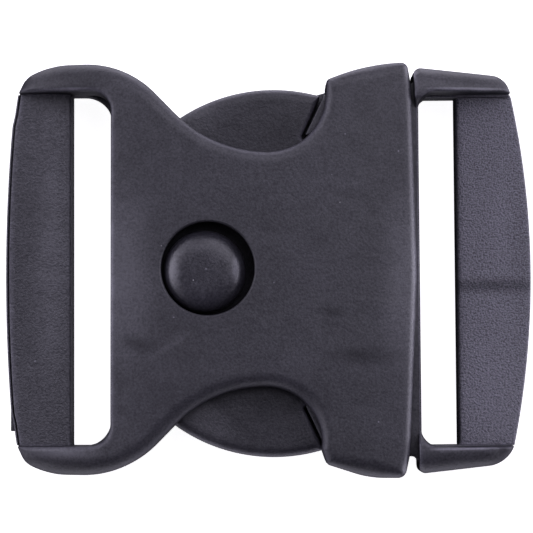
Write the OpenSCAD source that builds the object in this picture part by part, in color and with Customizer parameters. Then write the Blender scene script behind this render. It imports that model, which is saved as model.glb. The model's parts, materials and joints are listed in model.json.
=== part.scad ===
// Side release buckle with two squeeze wings and a centre lock button, for a 2 inch belt.
// Millimetres. +X points at the plug's strap end, +Y along the webbing's width, +Z out of the front.
// The buckle lies on its back: z = 0 is the surface under its feet, and x = y = 0 is its middle.

/* [Webbing] */
// Width of the belt webbing
webbing_w = 50.8; // [38:0.1:60]
// How much longer than the webbing's width a strap slot is
slot_play = 2.3; // [0.8:0.1:3]
// How much shorter the plug's strap slot is than the socket's
plug_slot_less = 0.6; // [0:0.1:1.6]
// Width of the socket's strap slot
socket_slot_w = 6.2; // [4.5:0.05:7]
// Width of the plug's strap slot
plug_slot_w = 5.8; // [4.5:0.05:7]
// Corner radius of the socket's strap slot on the body side
socket_slot_r = 3.4; // [0.6:0.1:3.6]
// Corner radius of the plug's strap slot on the mouth side
plug_slot_r = 1.8; // [0.6:0.1:2.4]

/* [Strap bars] */
// Width of the socket's strap bar at its middle
socket_bar_w = 10.1; // [7:0.1:13]
// Width of the plug's strap bar at its middle
plug_bar_w = 11.1; // [8:0.05:14]
// Thickness of a strap bar
bar_t = 4.5; // [3:0.1:5]
// Height of the bars' flat front over the surface that the buckle lies on
bar_top = 7.3; // [6.6:0.1:7.8]
// Radius of the socket bar's bowed outer edge
socket_bow_r = 200; // [150:1:400]
// Radius of the plug bar's bowed outer edge
plug_bow_r = 122; // [110:1:300]
// Width of a shoulder beside a strap slot
shoulder_w = 4.4; // [3.4:0.05:6]
// How much the plug's shoulders narrow towards their ends
plug_taper = 1.6; // [0.6:0.1:1.8]

/* [Socket body] */
// Length of the body from its strap slot to its mouth
body_len = 45.55; // [44:0.05:52]
// How much further out than the strap shoulders the mouth end reaches
mouth_flare = 0.3; // [0:0.05:1.2]
// Radius of the mouth's bowed edge
mouth_bow_r = 480; // [300:10:900]
// Distance from the mouth to the middle of the finger notches
notch_back = 22.6; // [21:0.1:24]
// Depth of a finger notch, from the mouth end's side
notch_depth = 14; // [12.6:0.1:14.4]
// Radius of the notch on the mouth's side
notch_r = 9.2; // [8:0.1:10]
// Radius of the notch on the strap's side
notch_long_r = 17.8; // [16:0.1:21]
// Radius of the hip between the notch and the strap shoulder
hip_r = 16.5; // [10:0.5:18]
// Diameter of the lock button
button_d = 12.3; // [11:0.1:13]
// Gap between the lock button and its hole, all round
button_gap = 0.8; // [0.5:0.05:1.2]
// Distance from the mouth to the middle of the button's hole
button_back = 31.2; // [30:0.1:32.5]

/* [Section] */
// Height of the front's crown over the surface that the buckle lies on
crown_z = 14.6; // [14.2:0.1:16]
// Radius of the front, across the belt's curve
crown_r = 140; // [120:1:200]
// Radius of the back's hollow, across the belt's curve
hollow_r = 260; // [200:5:400]
// Distance from the middle at which the flat feet begin
foot_x = 33.5; // [32.5:0.1:34.5]
// Drop of the front's rolled sides
roll_drop = 3.4; // [1.5:0.1:4]
// Width of the front's rolled sides
roll_w = 6.8; // [4:0.1:8]
// Thickness of the socket's front wall at the mouth
front_wall = 2.1; // [1.6:0.1:2.4]
// Thickness of the socket's back wall at its middle
back_wall = 2.1; // [1.6:0.1:2.6]
// Thickness of the socket's side walls at the mouth
side_wall = 3.05; // [2.6:0.05:4.5]

/* [Plug] */
// Gap between the plug and the socket's walls
fit_gap = 0.2; // [0.15:0.05:0.35]
// How much of the plug's crossbar shows between the mouth's middle and the strap slot
plug_show = 0.65; // [0.4:0.05:1.5]
// How far the plug's neck reaches into the socket
neck_len = 8.1; // [6.5:0.1:9]
// Width of a latch arm
arm_w = 4.7; // [3.6:0.1:5.2]
// Distance from the middle to a latch arm's outer side
arm_out = 20; // [19.6:0.1:20.4]
// Radius of a wing's bowed outer side
wing_r = 25.5; // [23.5:0.5:28]
// How far a wing stands out past the latch arm
wing_out = 7.6; // [6.6:0.1:7.8]
// Gap between a wing's heel and the notch
heel_gap = 0.5; // [0.45:0.05:0.9]
// Width of the lock tongue
tongue_w = 15.2; // [14:0.1:16]
// Thickness of the lock tongue
tongue_t = 2.2; // [1.6:0.1:2.8]
// How far the button's top lies under the crown
button_sink = 0.4; // [0.2:0.05:1]
// How far the plug has slid in past the middle of its play
plug_home = 0.5; // [0:0.05:0.5]
// How far the plug stands askew in the socket, in degrees
plug_skew = 0.6; // [0:0.1:0.6]
// How far the plug has shifted sideways in the mouth
plug_shift = 0.1; // [0:0.05:0.15]
// How far both latch arms lean over to that side
arm_lean = 0.3; // [0:0.05:0.3]
// How far the plug's shoulders reach past its strap slot towards the mouth
shoulder_lap = 0.6; // [0:0.05:0.8]

/* [Hidden] */
$fn = 96;
// How far an outline's arcs may stand off their true circles
arc_off = 0.025;
// Overshoot of a cut past the face that it opens
past = 1;
// Small overlap that joins two solids of one moulding
bite = 0.2;

// Half lengths and half heights along Y
socket_slot_half = (webbing_w + slot_play) / 2;
plug_slot_half = socket_slot_half - plug_slot_less / 2;
strap_half = socket_slot_half + shoulder_w;
mouth_half = strap_half + mouth_flare;
plug_half = plug_slot_half + shoulder_w;
notch_y = mouth_half - notch_depth;
cavity_half = mouth_half - side_wall;
neck_half = cavity_half - fit_gap - plug_shift - skew_room(neck_len);

// Places along X, from the socket's strap end to the plug's
overall_len = socket_bar_w + socket_slot_w + body_len + plug_show + plug_slot_w + plug_bar_w;
socket_end = -overall_len / 2;
socket_slot_out = socket_end + socket_bar_w;
socket_slot_in = socket_slot_out + socket_slot_w;
mouth_x = socket_slot_in + body_len;
plug_slot_in = mouth_x + plug_show;
plug_slot_out = plug_slot_in + plug_slot_w;
plug_end = plug_slot_out + plug_bar_w;
notch_x = mouth_x - notch_back;
button_x = mouth_x - button_back;
neck_x = mouth_x - neck_len;
tail_x = button_x - button_d / 2 - 1.3;

// Heights
arch_z = hollow_r - sqrt(hollow_r * hollow_r - foot_x * foot_x);
cavity_top = front_z(mouth_x) - front_wall;
cavity_floor = arch_z + back_wall;
plug_top = cavity_top - fit_gap;
plug_floor = cavity_floor + fit_gap;
button_top = crown_z - button_sink;
// Room over the lock button on its way through the mouth
channel_rise = 0.6;

// The latch arms, the wings and their openings
arm_in = arm_out - arm_w;
arm_room = arm_out + fit_gap + plug_shift + arm_lean + skew_room(body_len);
wing_top = arm_out + wing_out;
wing_x = notch_x + 1.5;
wing_tip_x = notch_x - 14.6;
wing_room_x = wing_tip_x - 0.8;
heel_r = notch_r - heel_gap;
notch_side_x = notch_x + notch_r;
// How far the back wall's sill reaches into a notch
sill_w = heel_gap + 0.5;

// Height of the front at a distance along X from the middle
function front_z(x) = crown_z - crown_r + sqrt(crown_r * crown_r - x * x);

// Sideways room that the plug's skew needs over a length of it
function skew_room(len) = len * sin(plug_skew) / 2;

// One corner of an outline, rounded to an arc that touches both of its sides
function corner_arc(a, b, c, r) =
    let (
        u = (a - b) / norm(a - b),
        w = (c - b) / norm(c - b),
        inside = acos(u * w),
        left_turn = cross(b - a, c - b) > 0,
        p = b + u * r / tan(inside / 2),
        middle = b + (u + w) / norm(u + w) * r / sin(inside / 2),
        start = atan2(p.y - middle.y, p.x - middle.x),
        sweep = (180 - inside) * (left_turn ? 1 : -1),
        steps = max(1, ceil(abs(sweep) / min(15, 2 * acos(1 - arc_off / r))))
    )
    [for (i = [0:steps]) middle + r * [cos(start + sweep * i / steps), sin(start + sweep * i / steps)]];

// Length that a corner's arc takes from each of its sides
function corner_reach(a, b, c, r) = r / tan(acos((a - b) * (c - b) / norm(a - b) / norm(c - b)) / 2);

function flat_point(corner) = [corner.x, corner.y];

// A closed outline from corners [x, y, radius], whose radii shrink where two arcs would meet
function rounded(corners) =
    let (
        n = len(corners),
        p = [for (k = corners) flat_point(k)],
        reach = [for (i = [0:n - 1])
            corners[i][2] > 0 ? corner_reach(p[(i + n - 1) % n], p[i], p[(i + 1) % n], corners[i][2]) : 0],
        share = [for (i = [0:n - 1])
            min(1, 0.999 * norm(p[(i + 1) % n] - p[i]) / max(0.001, reach[i] + reach[(i + 1) % n]))]
    )
    [for (i = [0:n - 1])
        let (r = corners[i][2] * min(share[i], share[(i + n - 1) % n]))
        each r > 0 ? corner_arc(p[(i + n - 1) % n], p[i], p[(i + 1) % n], r) : [p[i]]];

// The lower half of a list of corners that is mirrored in the X axis, in the order that closes the outline
function mirrored(corners) = [for (i = [len(corners) - 1:-1:0]) [corners[i].x, -corners[i].y, corners[i][2]]];

// The corner over the middle of a bowed end, whose arc reaches out to a distance arc_y along Y
function bow_middle(end_x, toward, r, arc_y) = [end_x - toward * (r / cos(asin(arc_y / r)) - r), 0, r];

// The corner at the distance y, on the straight line that carries the bowed end's arc on
function bow_corner(end_x, toward, r, arc_y, y, corner_r) =
    [bow_middle(end_x, toward, r, arc_y).x + toward * y * tan(asin(arc_y / r)), y, corner_r];

// Corners of the socket's outline over the X axis, from the mouth to the strap end.
// From shoulder_run behind the mouth its side falls away towards the notch.
socket_arc_y = strap_half - 7;
shoulder_run = 7.9;
socket_corners = [
    bow_corner(mouth_x, -1, mouth_bow_r, mouth_half - 1.8, mouth_half, 1.6),
    [mouth_x - shoulder_run, mouth_half, 20],
    [notch_side_x - 0.15, mouth_half - (notch_back - notch_r + 0.15 - shoulder_run) * tan(28), 1.3],
    [notch_side_x - 0.05, notch_y, notch_r],
    [notch_x - notch_long_r * tan(22.5), notch_y, notch_long_r],
    [notch_x - notch_long_r * tan(22.5) - (strap_half - notch_y), strap_half, hip_r],
    [socket_end + 7.8, strap_half, 18],
    bow_corner(socket_end, 1, socket_bow_r, socket_arc_y, strap_half - 2.6, 3.9)
];
socket_outline = rounded(concat(
    [bow_middle(mouth_x, -1, mouth_bow_r, mouth_half - 1.8)],
    socket_corners,
    [bow_middle(socket_end, 1, socket_bow_r, socket_arc_y)],
    mirrored(socket_corners)
));

// Corners of the plug frame's outline over the X axis, from its bowed end to its neck
plug_arc_y = plug_half - 6.2;
plug_corners = [
    bow_corner(plug_end, -1, plug_bow_r, plug_arc_y, plug_half - plug_taper, 4.2),
    [plug_slot_in - shoulder_lap, plug_half, 1.1],
    [plug_slot_in - shoulder_lap, neck_half, 0.8],
    [neck_x, neck_half, 1]
];
plug_outline = rounded(concat(
    [bow_middle(plug_end, -1, plug_bow_r, plug_arc_y)],
    plug_corners,
    mirrored(plug_corners)
));

// Both halves of a shape that is mirrored in the XZ plane
module both_sides() {
    children();
    mirror([0, 1, 0]) children();
}

// Everything under the crowned front, whose two long sides roll down
module under_front() {
    roll_steps = 6;
    roll_y = mouth_half + 0.4 - roll_w;
    roll = [for (i = [0:roll_steps])
        let (share = i / roll_steps)
        [crown_r - roll_drop * (1 - sqrt(1 - share * share)), roll_y + roll_w * share]];
    translate([0, 0, crown_z - crown_r])
        rotate([90, 0, 0])
            rotate_extrude($fn = 240)
                polygon(concat(
                    [[0, -mouth_half - past], [crown_r / 2, -mouth_half - past]],
                    [for (i = [roll_steps:-1:0]) [roll[i].x, -roll[i].y]],
                    roll,
                    [[crown_r / 2, mouth_half + past], [0, mouth_half + past]]
                ));
}

// The hollow of the back, which leaves flat feet at both strap ends
module back_hollow() {
    translate([0, 0, arch_z - hollow_r])
        rotate([90, 0, 0])
            cylinder(h = 2 * (mouth_half + past), r = hollow_r, center = true, $fn = 240);
}

// The outer form of a moulding, cut to an outline
module moulded(outline) {
    difference() {
        intersection() {
            linear_extrude(crown_z + past) polygon(outline);
            under_front();
        }
        back_hollow();
    }
}

// A strap slot, whose two corners on the body's side have the radius r
module strap_slot(out_x, in_x, half, r) {
    ends = [
        [out_x, -half, 0.4],
        [out_x, half, 0.4],
        [in_x, half, r],
        [in_x, -half, r]
    ];
    translate([0, 0, -past])
        linear_extrude(crown_z + 2 * past)
            polygon(rounded(ends));
}

// The room for the webbing in front of a strap bar and behind it
module bar_room(end_x, slot_x, half) {
    from_x = min(end_x, slot_x) - past;
    reach = abs(end_x - slot_x) + 2 * past;
    translate([from_x, -half, bar_top]) cube([reach, 2 * half, crown_z]);
    translate([from_x, -half, -past]) cube([reach, 2 * half, bar_top - bar_t + past]);
}

// The hollow that takes the plug: a wide mouth, a way for the arms and a window for each wing
module plug_room() {
    room_end = tail_x - 1;
    translate([0, 0, cavity_floor])
        linear_extrude(cavity_top - cavity_floor) {
            translate([neck_x - 0.6, -cavity_half]) square([neck_len + 3, 2 * cavity_half]);
            translate([room_end, -arm_room]) square([neck_x - room_end, 2 * arm_room]);
            both_sides() wing_window();
        }
    channel_half = button_d / 2 + 1.2;
    translate([room_end, -channel_half, cavity_floor])
        cube([mouth_x + past - room_end, 2 * channel_half, cavity_top + channel_rise - cavity_floor]);
}

// The side window that a wing stands in, bounded by the notch's own side
module wing_window() {
    intersection() {
        translate([wing_room_x, arm_room - bite]) square([notch_side_x - wing_room_x, mouth_half]);
        union() {
            translate([notch_x, notch_y + notch_r]) circle(notch_r, $fn = 120);
            translate([wing_room_x, 0]) square([notch_x - wing_room_x, 2 * mouth_half]);
            translate([notch_x, notch_y + notch_r]) square([notch_r - 0.3, mouth_half]);
        }
    }
}

// A sill on the back wall that closes the gap under a wing's heel
module heel_sill() {
    translate([0, 0, arch_z - 0.1])
        linear_extrude(cavity_floor - arch_z + 0.1)
            difference() {
                intersection() {
                    translate([notch_x, notch_y + notch_r]) circle(notch_r + bite, $fn = 120);
                    translate([notch_x + 3, notch_y]) square([notch_r, notch_r - 0.6]);
                }
                translate([notch_x, notch_y + notch_r]) circle(notch_r - sill_w, $fn = 120);
            }
}

module socket() {
    color([0.2, 0.2, 0.22])
        difference() {
            union() {
                moulded(socket_outline);
                both_sides() heel_sill();
            }
            strap_slot(socket_slot_out, socket_slot_in, socket_slot_half, socket_slot_r);
            bar_room(socket_end, socket_slot_out, socket_slot_half);
            plug_room();
            translate([button_x, 0, cavity_floor]) cylinder(h = crown_z, d = button_d + 2 * button_gap);
        }
}

// The plug's frame: the crossbar inside the mouth, two shoulders and the strap bar
module plug_frame() {
    difference() {
        moulded(plug_outline);
        strap_slot(plug_slot_out, plug_slot_in, plug_slot_half, plug_slot_r);
        bar_room(plug_end, plug_slot_out, plug_slot_half);
        neck_cut(plug_top, crown_z);
        neck_cut(-past, plug_floor + past);
    }
}

// What is cut off the neck and the crossbar from a height up, so that they fit the mouth
module neck_cut(z, h) {
    shoulder_x = plug_slot_in - shoulder_lap;
    bar_half = plug_slot_half - plug_slot_r;
    translate([neck_x - past, -mouth_half - past, z])
        cube([shoulder_x - neck_x + past, 2 * (mouth_half + past), h]);
    translate([neck_x, -bar_half, z]) cube([plug_slot_in - neck_x + past, 2 * bar_half, h]);
}

// A latch arm with its wing, seen from above
module arm_plan() {
    wing_low_y = arm_in + 5.2;
    intersection() {
        polygon([
            [neck_x + bite, arm_in],
            [notch_x - 7, arm_in],
            [wing_tip_x, wing_low_y],
            [wing_tip_x, wing_top],
            [notch_side_x, wing_top],
            [notch_side_x, arm_out],
            [neck_x + bite, arm_out]
        ]);
        union() {
            translate([wing_tip_x - past, 0]) square([neck_len + neck_x - wing_tip_x, arm_out]);
            intersection() {
                translate([wing_x, wing_top - wing_r]) circle(wing_r, $fn = 240);
                union() {
                    translate([notch_x, notch_y + notch_r]) circle(heel_r, $fn = 120);
                    translate([wing_tip_x - past, 0]) square([notch_x - wing_tip_x + past, 2 * wing_top]);
                }
            }
        }
    }
}

// The lock button: a pillar with a shallow dome and a rounded rim
module lock_button() {
    r = button_d / 2;
    rim = 1;
    dome = 0.35;
    rim_z = button_top - dome - rim;
    translate([button_x - plug_home, 0, 0])
        rotate_extrude($fn = 96)
            polygon(concat(
                [[0, plug_top - bite], [r, plug_top - bite]],
                [for (a = [0:15:90]) [r - rim + rim * cos(a), rim_z + rim * sin(a)]],
                [for (i = [3:-1:0]) let (x = (r - rim) * i / 4) [x, button_top - dome * pow(x / (r - rim), 2)]]
            ));
}

module plug() {
    color([0.21, 0.21, 0.23])
        translate([mouth_x, -plug_shift, 0])
            rotate([0, 0, plug_skew])
                translate([-mouth_x, 0, 0])
                    union() {
                        plug_frame();
                        translate([0, -arm_lean, plug_floor])
                            linear_extrude(plug_top - plug_floor) both_sides() arm_plan();
                        translate([tail_x, -tongue_w / 2, plug_top - tongue_t])
                            cube([neck_x + past - tail_x, tongue_w, tongue_t]);
                        lock_button();
                    }
}

socket();
plug();
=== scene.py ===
import json
import math

import bpy
import numpy as np
from mathutils import Matrix, Vector
from mathutils.geometry import delaunay_2d_cdt

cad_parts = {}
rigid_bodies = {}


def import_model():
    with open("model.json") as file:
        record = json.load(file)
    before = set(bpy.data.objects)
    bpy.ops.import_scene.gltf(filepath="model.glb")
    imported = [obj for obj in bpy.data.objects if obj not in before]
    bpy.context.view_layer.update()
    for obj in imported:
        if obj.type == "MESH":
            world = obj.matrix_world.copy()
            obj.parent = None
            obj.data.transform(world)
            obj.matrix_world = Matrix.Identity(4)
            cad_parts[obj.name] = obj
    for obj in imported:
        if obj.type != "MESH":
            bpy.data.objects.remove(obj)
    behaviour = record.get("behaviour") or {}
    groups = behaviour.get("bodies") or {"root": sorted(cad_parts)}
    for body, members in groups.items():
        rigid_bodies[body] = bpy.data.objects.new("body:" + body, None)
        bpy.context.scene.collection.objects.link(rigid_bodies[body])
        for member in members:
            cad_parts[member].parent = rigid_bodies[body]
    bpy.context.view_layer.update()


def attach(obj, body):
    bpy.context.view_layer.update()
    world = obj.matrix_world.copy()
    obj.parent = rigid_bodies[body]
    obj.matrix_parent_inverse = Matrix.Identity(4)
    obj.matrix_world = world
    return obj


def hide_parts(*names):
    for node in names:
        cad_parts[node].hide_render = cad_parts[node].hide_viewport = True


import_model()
mm = 0.001


# Paths and shells, in millimetres

shellRules = {
    "arcTurn": 0.16,        # largest turn of one step along a rounded corner, radians
    "leastStep": 0.02,      # points nearer to each other than this are one point
    "discShare": 0.8,       # how deep the rings go, against the largest disc that fits inside
    "deepening": 0.55,      # how fast that depth may grow along the outline
    "rollShare": 0.98,      # how far a roll may turn under
    # The parting line, as height from it and 1 where it stands out
    "parting": ((0.14, 0), (0.05, 1), (-0.05, 1), (-0.14, 0)),
}


def roundedPath(rows, step=0.4, deepest=1.0):
    # Each row is x, y, plan radius, top roll, bottom roll and how steep the rolls are (1 where left out),
    # counterclockwise round the material. A corner becomes the arc that touches both of its sides;
    # from the middle of one corner to the middle of the next the rolls change evenly with the way.
    rows = np.array([list(row) + [1.0] * (6 - len(row)) for row in rows], float)
    p, r = rows[:, :2], rows[:, 2].copy()
    back = np.roll(p, 1, 0) - p
    ahead = np.roll(p, -1, 0) - p
    backLength = np.linalg.norm(back, axis=1)
    aheadLength = np.linalg.norm(ahead, axis=1)
    back = back / backLength[:, None]
    ahead = ahead / aheadLength[:, None]
    inside = np.arccos(np.clip((back * ahead).sum(1), -1, 1))
    turn = np.where(back[:, 1] * ahead[:, 0] - back[:, 0] * ahead[:, 1] > 0, 1.0, -1.0)
    reach = r / np.tan(inside / 2)
    share = np.minimum(1, 0.999 * aheadLength / np.maximum(1e-6, reach + np.roll(reach, -1)))
    r = r * np.minimum(share, np.roll(share, 1))
    reach = r / np.tan(inside / 2)
    pieces, anchors, made = [], [], 0
    for i in range(len(p)):
        nextOne = (i + 1) % len(p)
        arc = p[i:i + 1]
        if r[i] > 0.01:
            toMiddle = back[i] + ahead[i]
            middle = p[i] + toMiddle / np.linalg.norm(toMiddle) * r[i] / math.sin(inside[i] / 2)
            start = p[i] + back[i] * reach[i] - middle
            sweep = (math.pi - inside[i]) * turn[i]
            byTurn = math.ceil(abs(sweep) / shellRules["arcTurn"])
            count = max(3, byTurn, math.ceil(r[i] * abs(sweep) / step))
            angle = math.atan2(start[1], start[0]) + sweep * np.linspace(0, 1, count + 1)
            arc = middle + r[i] * np.stack([np.cos(angle), np.sin(angle)], 1)
        anchors.append(made + (len(arc) - 1) / 2)
        runEnd = p[nextOne] + back[nextOne] * reach[nextOne]
        count = max(1, math.ceil(np.linalg.norm(runEnd - arc[-1]) / step))
        along = np.linspace(0, 1, count + 1)[1:-1, None]
        run = arc[-1] + (runEnd - arc[-1]) * along
        pieces += [arc, run]
        made += len(arc) + len(run)
    path = np.vstack(pieces)
    way = np.cumsum(np.linalg.norm(path - np.roll(path, 1, 0), axis=1))
    lap = way[-1]
    anchorWay = np.interp(anchors, np.arange(len(path)), way)
    threeLaps = np.concatenate([anchorWay - lap, anchorWay, anchorWay + lap])
    evenly = [np.interp(way, threeLaps, np.tile(rows[:, column], 3)) for column in (3, 4, 5)]
    path = np.column_stack([path] + evenly)
    apart = np.linalg.norm(np.roll(path[:, :2], -1, 0) - path[:, :2], axis=1) > shellRules["leastStep"]
    path = path[apart]
    # How deep the rings may go: most of the radius of the largest disc that touches the outline here
    # and holds no other point of it, and growing only slowly away from a tight corner
    inward = -outwardOf(path)
    offX = path[None, :, 0] - path[:, None, 0]
    offY = path[None, :, 1] - path[:, None, 1]
    facing = offX * inward[:, :1] + offY * inward[:, 1:]
    disc = np.where(facing > 1e-4, (offX ** 2 + offY ** 2) / np.maximum(2 * facing, 1e-9), 1e3).min(1)
    depth = np.minimum(deepest, shellRules["discShare"] * disc)
    travelled = np.cumsum(np.linalg.norm(path[:, :2] - np.roll(path[:, :2], 1, 0), axis=1))
    between = np.abs(travelled[:, None] - travelled[None, :])
    between = np.minimum(between, travelled[-1] - between)
    depth = (depth[None, :] + shellRules["deepening"] * between).min(1)
    return np.column_stack([path, depth])


def mirroredRows(rows, lower=None):
    # The rows of an upper half, then the lower half's mirrored in the X axis, so that the outline closes.
    # Both halves are alike unless lower is given. A row on or past the axis is not mirrored: it is the
    # middle of a bowed end.
    rows = [list(row) for row in rows]
    other = [list(row) for row in (rows if lower is None else lower)]
    return rows + [[row[0], -row[1]] + row[2:] for row in other[::-1] if row[1] > 0]


def outwardOf(path):
    # Unit vectors square to the path, on the side away from the material
    tangent = np.roll(path[:, :2], -1, 0) - np.roll(path[:, :2], 1, 0)
    tangent = tangent / np.linalg.norm(tangent, axis=1)[:, None]
    return np.stack([tangent[:, 1], -tangent[:, 0]], 1)


def edgeField(points, loops, column):
    # For every point: distance to the nearest edge, and the depth that the rolled edges take there.
    # A roll of radius R takes R - sqrt(R^2 - (R - d)^2) at the distance d, times its steepness, and the
    # deepest one counts. The points go through in parts, which spares memory.
    nearest, depth = [], []
    start = np.vstack([loop[:, :2] for loop in loops])
    end = np.vstack([np.roll(loop[:, :2], -1, 0) for loop in loops])
    rollA = np.concatenate([loop[:, column] for loop in loops])
    rollB = np.concatenate([np.roll(loop[:, column], -1) for loop in loops])
    steepA = np.concatenate([loop[:, 4] for loop in loops])
    steepB = np.concatenate([np.roll(loop[:, 4], -1) for loop in loops])
    side = end - start
    squared = (side ** 2).sum(1)
    for part in np.array_split(points, max(1, len(points) // 800)):
        offX = part[:, :1] - start[:, 0]
        offY = part[:, 1:2] - start[:, 1]
        t = np.clip((offX * side[:, 0] + offY * side[:, 1]) / squared, 0, 1)
        d = np.hypot(offX - t * side[:, 0], offY - t * side[:, 1])
        roll = rollA + t * (rollB - rollA)
        into = np.clip(roll - d, 0, None)
        taken = (roll - np.sqrt(np.clip(roll ** 2 - into ** 2, 0, None))) * (steepA + t * (steepB - steepA))
        nearest.append(d.min(1))
        depth.append(taken.max(1))
    return np.concatenate(nearest), np.concatenate(depth)


def insideOf(points, rings):
    # True where a ray towards +X crosses the rings an odd number of times
    start = np.vstack(rings)
    end = np.vstack([np.roll(ring, -1, 0) for ring in rings])
    rise = end[:, 1] - start[:, 1]
    rise = np.where(np.abs(rise) < 1e-12, 1e-12, rise)
    found = []
    for part in np.array_split(points, max(1, len(points) // 2000)):
        y = part[:, 1:2]
        spans = (start[:, 1] > y) != (end[:, 1] > y)
        cross = start[:, 0] + (y - start[:, 1]) / rise * (end[:, 0] - start[:, 0])
        found.append((spans & (cross > part[:, :1])).sum(1) % 2 == 1)
    return np.concatenate(found)


def fillRings(rings, spacing):
    # Triangles between the rings over a staggered grid of points; returns the grid's points too
    corners = np.vstack(rings)
    low, high = corners.min(0), corners.max(0)
    across = np.arange(low[0], high[0], spacing)
    up = np.arange(low[1], high[1], spacing * 0.87)
    x, y = np.meshgrid(across, up)
    x = x + np.where(np.arange(len(up)) % 2 == 1, spacing / 2, 0)[:, None]
    grid = np.stack([x.ravel(), y.ravel()], 1)
    grid = grid[insideOf(grid, rings)]
    ringLoops = [np.hstack([ring, np.zeros((len(ring), 3))]) for ring in rings]
    clear = edgeField(grid, ringLoops, 2)[0]
    grid = grid[clear > spacing * 0.55]
    flat = np.vstack([corners, grid])
    edges, at = [], 0
    for ring in rings:
        number = np.arange(len(ring))
        edges.append(np.stack([at + number, at + (number + 1) % len(ring)], 1))
        at += len(ring)
    out = delaunay_2d_cdt([Vector(v) for v in flat.tolist()], np.vstack(edges).tolist(), [], 2, 1e-9)
    if len(out[0]) != len(flat):
        merged = np.array(out[0][len(flat):])
        raise RuntimeError("two edges of a shell cross each other near " + str(merged[:4].tolist()))
    triangles = np.array(out[2])
    a, b, c = flat[triangles[:, 0]], flat[triangles[:, 1]], flat[triangles[:, 2]]
    area = (b[:, 0] - a[:, 0]) * (c[:, 1] - a[:, 1]) - (b[:, 1] - a[:, 1]) * (c[:, 0] - a[:, 0])
    triangles[area < 0] = triangles[area < 0][:, ::-1]
    return triangles, grid


def mouldedShell(loops, topZ, bottomZ, spacing=0.5, lowSpacing=1.1, rows=7, seam=0.0):
    # A closed moulding over its outline. The rolled edges are a quarter circle of each point's own
    # radius carried along the outline; the top and the bottom are heights over x and y, less the roll.
    steps = np.arange(rows, -1, -1) / rows
    caps = (("top", 2, topZ, 1, spacing), ("bottom", 3, bottomZ, -1, lowSpacing))
    points, triangles = [], []
    rings = {"top": [], "bottom": []}
    ringIds = {"top": [], "bottom": []}
    count = 0
    for loop in loops:
        out = outwardOf(loop)
        levels = {}
        for name, column, surface, sign, gap in caps:
            roll = loop[:, column]
            reach = np.minimum(loop[:, 5], roll * shellRules["rollShare"])
            turned = steps[:, None] * np.arccos(1 - reach / roll)
            inset = roll * (1 - np.cos(turned)) + seam
            xy = loop[None, :, :2] - out[None] * inset[:, :, None]
            own = roll * loop[:, 4] * (1 - np.sin(turned))
            shared = edgeField(xy.reshape(-1, 2), loops, column)[1].reshape(own.shape)
            z = surface(xy[..., 0], xy[..., 1]) - sign * np.maximum(own, shared)
            levels[name] = np.concatenate([xy, z[..., None]], 2)
        middle = []
        if seam > 0:
            half = (levels["top"][-1, :, 2] + levels["bottom"][-1, :, 2]) / 2
            for shift, proud in shellRules["parting"]:
                xy = loop[:, :2] - out * (seam * (1 - proud))
                middle.append(np.concatenate([xy, (half + shift)[:, None]], 1))
        sheet = np.concatenate([levels["top"]] + [m[None] for m in middle] + [levels["bottom"][::-1]])
        rowsHere, n = sheet.shape[:2]
        ids = count + np.arange(rowsHere * n).reshape(rowsHere, n)
        a, b = ids[:-1], ids[1:]
        c, d = np.roll(b, -1, 1), np.roll(a, -1, 1)
        triangles.append(np.stack([a, b, c], 2).reshape(-1, 3))
        triangles.append(np.stack([a, c, d], 2).reshape(-1, 3))
        points.append(sheet.reshape(-1, 3))
        rings["top"].append(sheet[0, :, :2])
        rings["bottom"].append(sheet[-1, :, :2])
        ringIds["top"].append(ids[0])
        ringIds["bottom"].append(ids[-1])
        count += rowsHere * n
    for name, column, surface, sign, gap in caps:
        cap, grid = fillRings(rings[name], gap)
        taken = edgeField(grid, loops, column)[1]
        z = surface(grid[:, 0], grid[:, 1]) - sign * taken
        points.append(np.column_stack([grid, z]))
        number = np.concatenate(ringIds[name] + [count + np.arange(len(grid))])
        cap = number[cap]
        triangles.append(cap if sign > 0 else cap[:, ::-1])
        count += len(grid)
    return {"points": np.vstack(points), "triangles": np.vstack(triangles), "loops": loops}


def turnedShell(middle, profile, around=96, follow=None):
    # A profile of radius and height carried once round an upright axis, closed at both poles.
    # Where follow is given, it adds a height over x and y to the rows that ask for it.
    profile = np.array(profile, float)
    angle = np.arange(around) / around * 2 * math.pi
    x = middle[0] + profile[:, :1] * np.cos(angle)
    y = middle[1] + profile[:, :1] * np.sin(angle)
    z = np.repeat(profile[:, 1:2], around, 1)
    if follow is not None:
        z = z + profile[:, 2:3] * follow(x, y)
    rows = len(profile)
    ids = np.arange(rows * around).reshape(rows, around)
    a, b = ids[:-1], ids[1:]
    c, d = np.roll(b, -1, 1), np.roll(a, -1, 1)
    sides = np.concatenate([np.stack([a, b, c], 2).reshape(-1, 3), np.stack([a, c, d], 2).reshape(-1, 3)])
    first, last = rows * around, rows * around + 1
    topFan = np.stack([np.full(around, first), ids[0], np.roll(ids[0], -1)], 1)
    lowFan = np.stack([np.full(around, last), np.roll(ids[-1], -1), ids[-1]], 1)
    poles = np.array([[middle[0], middle[1], z[0].mean()], [middle[0], middle[1], z[-1].mean()]])
    points = np.vstack([np.stack([x, y, z], 2).reshape(-1, 3), poles])
    return {"points": points, "triangles": np.vstack([sides, topFan, lowFan]), "loops": []}


def flatHeight(z):
    # A level surface at the height z
    return lambda x, y: np.full(np.shape(x), float(z))


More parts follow.
